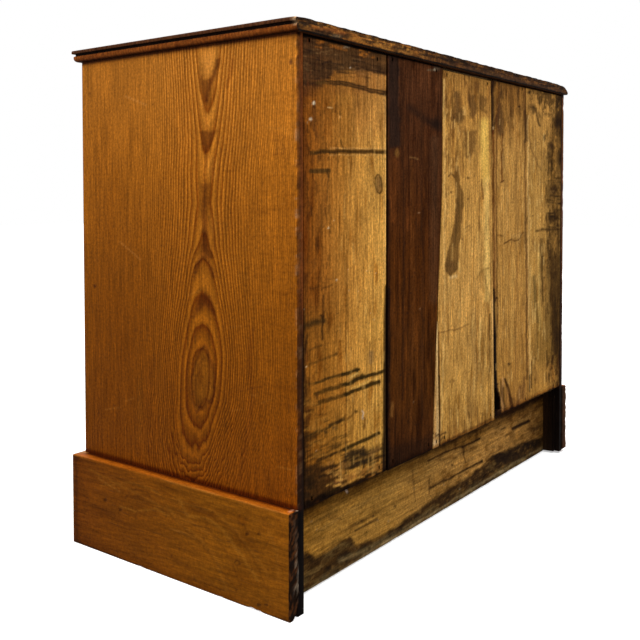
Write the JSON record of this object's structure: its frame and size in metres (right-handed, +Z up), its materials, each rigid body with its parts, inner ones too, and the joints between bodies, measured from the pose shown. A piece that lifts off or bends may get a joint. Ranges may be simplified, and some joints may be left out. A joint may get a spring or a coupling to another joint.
{
  "type": "chest of drawers",
  "caption": "Floor-standing pine chest of drawers on a plinth, short drawers over long ones, with a moulded top and a vertical-board back.",
  "frame": {"origin": "on the floor, at the middle of the whole object's footprint", "axes": "+X along the width, +Y towards the back boards, so the drawers open towards -Y, +Z up"},
  "size_m": [1.04, 0.517, 0.856],
  "materials": {
    "stained_pine": "honey-amber stained and waxed pine, satin, worn at the edges",
    "top_wood": "dark stained moulded edge, waxed, with a raw dirty rear edge",
    "aged_pine": "bare unfinished pine, oxidised, with dark stains and drips",
    "dark_board": "dark brown bare board, dull",
    "carcase_pine": "bare planed pine, aged",
    "drawer_pine": "bare planed pine, lightly soiled",
    "turned_wood": "dark turned wood, polished",
    "nail_iron": "dark rusted iron",
    "screw_iron": "dull steel"
  },
  "bodies": {
    "carcase": {"back_nails": "nail_iron", "backboard_1": "aged_pine", "backboard_2": "dark_board", "backboard_3": "aged_pine", "backboard_4": "aged_pine", "backboard_5": "aged_pine", "backboard_sliver": "aged_pine", "bottom_board": "carcase_pine", "bottom_rail": "stained_pine", "centre_guide": "carcase_pine", "centre_kicker": "carcase_pine", "centre_runner": "carcase_pine", "centre_upright": "stained_pine", "drawer_stops": "carcase_pine", "glue_blocks": "carcase_pine", "kicker_left": "carcase_pine", "kicker_right": "carcase_pine", "lower_back_rail": "aged_pine", "lower_drawer_rail": "stained_pine", "lower_runner_left": "carcase_pine", "lower_runner_right": "carcase_pine", "plinth_front": "stained_pine", "plinth_return_left": "stained_pine", "plinth_return_right": "stained_pine", "rear_cross_rail": "carcase_pine", "side_panel_left": "stained_pine", "side_panel_right": "stained_pine", "top_back_rail": "carcase_pine", "top_board": "top_wood", "top_front_rail": "stained_pine", "top_screws": "screw_iron", "upper_drawer_rail": "stained_pine", "upper_runner_left": "carcase_pine", "upper_runner_right": "carcase_pine"},
    "upper_left_drawer": {"upper_left_drawer_back": "drawer_pine", "upper_left_drawer_bottom": "drawer_pine", "upper_left_drawer_front": "stained_pine", "upper_left_drawer_side_left": "drawer_pine", "upper_left_drawer_side_right": "drawer_pine", "upper_left_knob": "turned_wood"},
    "upper_right_drawer": {"upper_right_drawer_back": "drawer_pine", "upper_right_drawer_bottom": "drawer_pine", "upper_right_drawer_front": "stained_pine", "upper_right_drawer_side_left": "drawer_pine", "upper_right_drawer_side_right": "drawer_pine", "upper_right_knob": "turned_wood"},
    "middle_drawer": {"middle_drawer_back": "drawer_pine", "middle_drawer_bottom": "drawer_pine", "middle_drawer_front": "stained_pine", "middle_drawer_side_left": "drawer_pine", "middle_drawer_side_right": "drawer_pine", "middle_knob_left": "turned_wood", "middle_knob_right": "turned_wood"},
    "lower_drawer": {"lower_drawer_back": "drawer_pine", "lower_drawer_bottom": "drawer_pine", "lower_drawer_front": "stained_pine", "lower_drawer_side_left": "drawer_pine", "lower_drawer_side_right": "drawer_pine", "lower_knob_left": "turned_wood", "lower_knob_right": "turned_wood"}
  },
  "joints": [
    {"name": "upper_left_drawer_slide", "type": "slide", "parent": "carcase", "child": "upper_left_drawer", "axis": [0, -1, 0], "range_m": [0, 0.33]},
    {"name": "upper_right_drawer_slide", "type": "slide", "parent": "carcase", "child": "upper_right_drawer", "axis": [0, -1, 0], "range_m": [0, 0.33]},
    {"name": "middle_drawer_slide", "type": "slide", "parent": "carcase", "child": "middle_drawer", "axis": [0, -1, 0], "range_m": [0, 0.33]},
    {"name": "lower_drawer_slide", "type": "slide", "parent": "carcase", "child": "lower_drawer", "axis": [0, -1, 0], "range_m": [0, 0.33]}
  ]
}
